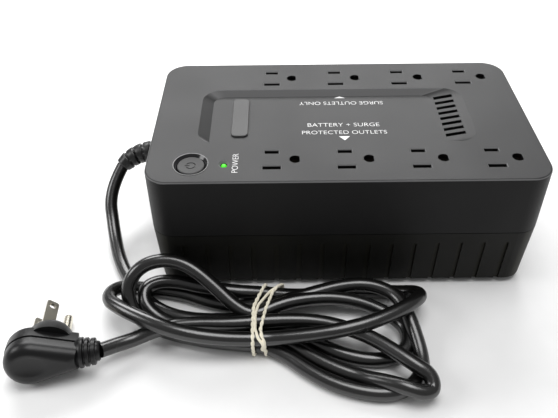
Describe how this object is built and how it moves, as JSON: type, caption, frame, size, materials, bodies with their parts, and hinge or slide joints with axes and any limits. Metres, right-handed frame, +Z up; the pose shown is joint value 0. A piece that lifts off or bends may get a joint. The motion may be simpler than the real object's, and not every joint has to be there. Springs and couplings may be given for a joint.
{
  "type": "uninterruptible power supply",
  "caption": "Flat desktop battery backup with two rows of grounded outlets on top, a push button, a status light and a banded cord that ends in a right-angle plug.",
  "frame": {"origin": "middle of the footprint, on the surface that the feet stand on", "axes": "+X along the long side with the power button at -X, +Y from the front row of outlets to the rear row, +Z up"},
  "size_m": [0.2693, 0.1867, 0.077],
  "materials": {
    "aluminium": "extruded aluminium",
    "badge_plastic": "smooth dark plate",
    "band_cream": "cream rubber band",
    "base_plastic": "darker moulding with upright grooves",
    "battery_case": "grey battery case",
    "blade_metal": "dark nickel plate",
    "board_green": "green circuit board",
    "bracket_steel": "plated steel strap",
    "breaker_button": "black reset button",
    "breaker_plastic": "moulded breaker body",
    "button_plastic": "satin grey button",
    "buzzer_black": "black buzzer",
    "capacitor_sleeve": "dark sleeve",
    "carrier_plastic": "heat-resisting black moulding",
    "case_plastic": "fine-grained charcoal moulding",
    "contact_brass": "stamped brass",
    "cord_black": "semi-gloss black cord jacket",
    "core_steel": "stacked steel laminations",
    "foam": "black foam strip",
    "fuse_glass": "glass tube with plated caps",
    "gloss_black": "polished black ring",
    "led_lens": "lit green lens",
    "pin_metal": "bright nickel plate",
    "plug_plastic": "moulded black plug",
    "relay_case": "blue relay case",
    "relief_black": "soft black moulding",
    "rubber_foot": "soft black rubber",
    "screw_steel": "zinc-plated screws",
    "spring_steel": "spring wire",
    "switch_black": "small switch housing",
    "transistor_black": "black epoxy",
    "varistor_blue": "coated discs",
    "winding_tape": "yellow taped copper winding",
    "wire_black": "black insulated wire",
    "wire_red": "red insulated wire"
  },
  "bodies": {
    "case": {"badge": "badge_plastic", "base_case": "base_plastic", "battery": "battery_case", "battery_door": "base_plastic", "battery_lead_black": "wire_black", "battery_lead_red": "wire_red", "battery_pads": "foam", "battery_terminals": "contact_brass", "board_screws": "screw_steel", "breaker_body": "breaker_plastic", "button_bezel": "gloss_black", "button_board": "board_green", "buzzer": "buzzer_black", "capacitor_1": "capacitor_sleeve", "capacitor_2": "capacitor_sleeve", "case_screw_1": "screw_steel", "case_screw_2": "screw_steel", "case_screw_3": "screw_steel", "case_screw_4": "screw_steel", "cord_hank": "cord_black", "cord_lead": "cord_black", "cord_tail": "cord_black", "foot_1": "rubber_foot", "foot_2": "rubber_foot", "foot_3": "rubber_foot", "foot_4": "rubber_foot", "fuse": "fuse_glass", "ground_bar_front": "contact_brass", "ground_bar_rear": "contact_brass", "hank_band": "band_cream", "heat_sink": "aluminium", "hot_bar_front": "contact_brass", "hot_bar_rear": "contact_brass", "line_wires": "wire_black", "main_board": "board_green", "neutral_bar_front": "contact_brass", "neutral_bar_rear": "contact_brass", "outlet_carrier_front": "carrier_plastic", "outlet_carrier_rear": "carrier_plastic", "plug_blade_1": "blade_metal", "plug_blade_2": "blade_metal", "plug_body": "plug_plastic", "plug_ground_pin": "pin_metal", "power_transistors": "transistor_black", "relay_1": "relay_case", "relay_2": "relay_case", "status_led": "led_lens", "strain_relief": "relief_black", "switch_body": "switch_black", "top_cover": "case_plastic", "transformer_bracket": "bracket_steel", "transformer_core": "core_steel", "transformer_screw_1": "screw_steel", "transformer_screw_2": "screw_steel", "transformer_winding": "winding_tape", "varistors": "varistor_blue"},
    "power_button": {"power_button": "button_plastic", "button_spring": "spring_steel"},
    "switch_plunger": {"switch_plunger": "button_plastic"},
    "breaker_button": {"breaker_button": "breaker_button"}
  },
  "joints": [
    {"name": "power_press", "type": "slide", "parent": "case", "child": "power_button", "axis": [0, 0, -1], "range_m": [0, 0.0015], "stiffness_N_per_m": 400, "deforming": ["button_spring"]},
    {"name": "switch_press", "type": "slide", "parent": "case", "child": "switch_plunger", "axis": [0, 0, -1], "range_m": [0, 0.0015]},
    {"name": "breaker_press", "type": "slide", "parent": "case", "child": "breaker_button", "axis": [1, 0, 0], "range_m": [0, 0.002], "stiffness_N_per_m": 400}
  ],
  "couplings": [
    {"joint": "switch_press", "follows": "power_press", "ratio": 1}
  ]
}
